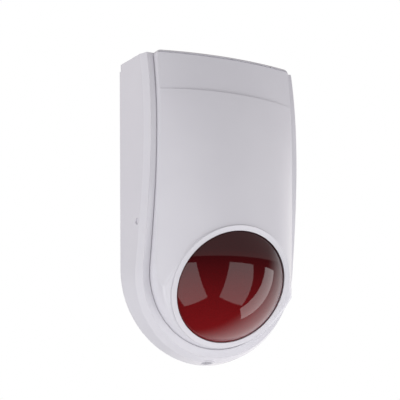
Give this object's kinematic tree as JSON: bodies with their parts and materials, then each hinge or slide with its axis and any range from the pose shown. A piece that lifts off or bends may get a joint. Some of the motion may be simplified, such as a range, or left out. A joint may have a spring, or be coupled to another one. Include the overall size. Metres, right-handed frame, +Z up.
{
  "type": "alarm siren",
  "caption": "Shield-shaped wall siren with a red strobe dome, hinged cover, horn, backup battery, control board and tamper switch",
  "frame": {"origin": "On the wall face, in the middle of the rectangle of four wall screws", "axes": "X to the viewer's right, Y into the wall, Z up"},
  "size_m": [0.1898, 0.1029, 0.3225],
  "materials": {
    "base": "off-white ABS, satin, with moulding marks",
    "battery": "dark grey battery case, satin",
    "black_plastic": "black moulded plastic, fine grain",
    "board": "green solder mask with tracks and pads",
    "brass": "tinned brass",
    "capacitor": "dark blue sleeve, aluminium top",
    "chip": "black epoxy package",
    "copper": "enamelled copper winding on ferrite",
    "diaphragm": "amber film diaphragm",
    "horn": "black moulded horn, satin",
    "housing": "glossy off-white ABS with a fine moulded skin",
    "lead_black": "black PVC insulation",
    "lead_red": "red PVC insulation",
    "lead_white": "white PVC insulation",
    "led": "clear epoxy LEDs",
    "lens": "clear red polycarbonate, polished outside, ribbed inside",
    "magnet": "dark ferrite ring, ground faces",
    "reflector": "vacuum metallised reflector",
    "relay": "blue relay case",
    "retainer": "unpainted grey-white ABS",
    "seal": "soft black rubber",
    "socket": "cream nylon connector",
    "spring": "bright spring wire",
    "steel": "zinc plated",
    "terminal": "green moulded terminal block"
  },
  "bodies": {
    "wall_unit": {"back_plate": "base", "cable_grommet": "seal", "hinge_pin_left": "steel", "hinge_pin_right": "steel", "horn_flare": "horn", "driver_cup": "black_plastic", "driver_diaphragm": "diaphragm", "driver_magnet": "magnet", "driver_yoke": "steel", "horn_saddle": "black_plastic", "saddle_screw_left": "steel", "saddle_screw_right": "steel", "battery": "battery", "battery_tab_positive": "brass", "battery_tab_negative": "brass", "battery_strap": "steel", "strap_screw_left": "steel", "strap_screw_right": "steel", "main_board": "board", "terminal_block": "terminal", "terminal_screws": "steel", "capacitor_1": "capacitor", "capacitor_2": "capacitor", "capacitor_3": "capacitor", "controller_chip": "chip", "driver_chip": "chip", "relay": "relay", "inductor": "copper", "horn_socket": "socket", "strobe_socket": "socket", "strobe_bracket": "black_plastic", "bracket_screw_left": "steel", "bracket_screw_right": "steel", "strobe_board": "board", "strobe_screw_left": "steel", "strobe_screw_right": "steel", "reflector": "reflector", "strobe_leds": "led", "tamper_switch": "black_plastic", "tamper_spring": "spring", "horn_lead": "lead_white", "strobe_lead": "lead_white", "battery_lead_red": "lead_red", "battery_lead_black": "lead_black", "board_screw_1": "steel", "board_screw_2": "steel", "board_screw_3": "steel", "board_screw_4": "steel"},
    "cover": {"cover_shell": "housing", "strobe_lens": "lens", "lens_seal": "seal", "lens_retainer": "retainer", "lens_screw_1": "steel", "lens_screw_2": "steel", "lens_screw_3": "steel", "lens_screw_4": "steel", "lens_screw_5": "steel"},
    "washer": {"lock_washer": "steel"},
    "lock": {"lock_screw": "steel"},
    "plunger": {"tamper_plunger": "socket"}
  },
  "joints": [
    {"name": "cover_swing", "type": "hinge", "parent": "wall_unit", "child": "cover", "pos_m": [0, -0.007, 0.154], "axis": [-1, 0, 0], "range_deg": [0, 75]},
    {"name": "lock_travel", "type": "slide", "parent": "cover", "child": "washer", "axis": [0, 0, -1], "range_m": [0, 0.01]},
    {"name": "lock_turn", "type": "hinge", "parent": "washer", "child": "lock", "pos_m": [0, -0.012, -0.15], "axis": [0, 0, -1], "range_deg": [0, 2571.43]},
    {"name": "tamper_press", "type": "slide", "parent": "wall_unit", "child": "plunger", "axis": [0, -1, 0], "range_m": [0, 0.003]}
  ],
  "couplings": [
    {"joint": "lock_turn", "follows": "lock_travel", "rad_per_m": 4488},
    {"joint": "tamper_press", "follows": "cover_swing", "m_per_rad": 0.002292}
  ]
}
